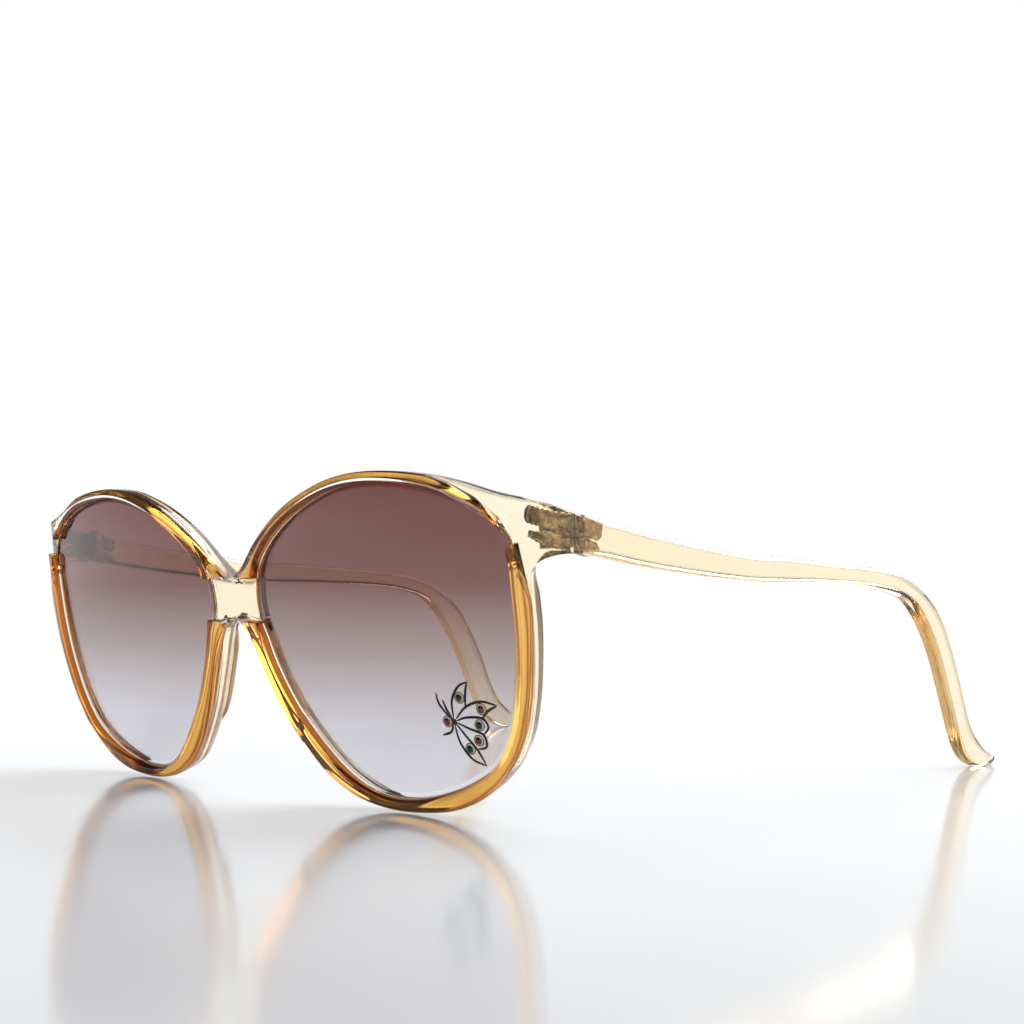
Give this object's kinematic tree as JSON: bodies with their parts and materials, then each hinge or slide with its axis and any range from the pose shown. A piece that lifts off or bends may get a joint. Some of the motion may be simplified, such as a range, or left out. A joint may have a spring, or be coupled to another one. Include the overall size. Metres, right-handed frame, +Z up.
{
  "type": "folding sunglasses",
  "caption": "Oversized round-square sunglasses with a two-layer rim, domed gradient lenses, folding temples and a small stone-set butterfly on one lens.",
  "frame": {"origin": "on the table, under the middle of the object as it stands open on its rims and temple tips", "axes": "+X to the wearer's left, +Y from the front towards the ears, +Z up"},
  "size_m": [0.144, 0.1395, 0.0556],
  "materials": {
    "clear_champagne": "polished clear champagne plastic",
    "amber_tortoise": "polished dark amber translucent plastic",
    "gradient_lens": "polished lens, rose-brown at the top fading to pale grey",
    "hinge_brass": "satin gilt metal",
    "dark_linework": "dark enamel line",
    "ruby_glass": "cut red glass",
    "emerald_glass": "cut green glass"
  },
  "bodies": {
    "front": {"front_frame": "clear_champagne", "brow_layer_left": "amber_tortoise", "brow_layer_right": "amber_tortoise", "rim_layer_left": "amber_tortoise", "rim_layer_right": "amber_tortoise", "lens_left": "gradient_lens", "lens_right": "gradient_lens", "nose_pad_left": "clear_champagne", "nose_pad_right": "clear_champagne", "hinge_front_leaf_left": "hinge_brass", "hinge_front_leaf_right": "hinge_brass", "hinge_screw_left": "hinge_brass", "hinge_screw_right": "hinge_brass", "butterfly_linework": "dark_linework", "ruby_stone_1": "ruby_glass", "ruby_stone_2": "ruby_glass", "ruby_stone_3": "ruby_glass", "emerald_stone_1": "emerald_glass", "emerald_stone_2": "emerald_glass", "emerald_stone_3": "emerald_glass"},
    "temple_arm_left": {"temple_left": "clear_champagne", "hinge_temple_leaf_left": "hinge_brass"},
    "temple_arm_right": {"temple_right": "clear_champagne", "hinge_temple_leaf_right": "hinge_brass"}
  },
  "joints": [
    {"name": "fold_left", "type": "hinge", "parent": "front", "child": "temple_arm_left", "pos_m": [0.0662, -0.0533, 0.0448], "axis": [0, 0, 1], "range_deg": [0, 88]},
    {"name": "fold_right", "type": "hinge", "parent": "front", "child": "temple_arm_right", "pos_m": [-0.0662, -0.0533, 0.0448], "axis": [0, 0, -1], "range_deg": [0, 80]}
  ]
}
